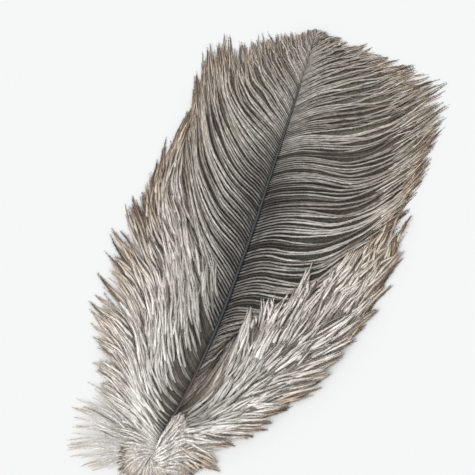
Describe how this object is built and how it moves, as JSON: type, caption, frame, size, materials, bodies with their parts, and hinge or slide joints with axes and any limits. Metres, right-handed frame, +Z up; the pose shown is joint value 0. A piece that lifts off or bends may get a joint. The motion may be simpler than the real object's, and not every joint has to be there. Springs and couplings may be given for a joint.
{
  "type": "feather",
  "caption": "Dark grey-brown ostrich body feather with soft curling barbs, pale tan tips and white down at the quill.",
  "frame": {"origin": "middle of the box around the feather, on the plane that it lies on", "axes": "+Y from the quill to the tip, +X towards the broad vane, +Z up from the surface"},
  "size_m": [0.0982, 0.1864, 0.005],
  "materials": {
    "feather": "matt barbs with a faint silky sheen"
  },
  "bodies": {
    "root": {"feather": "feather"}
  },
  "joints": []
}
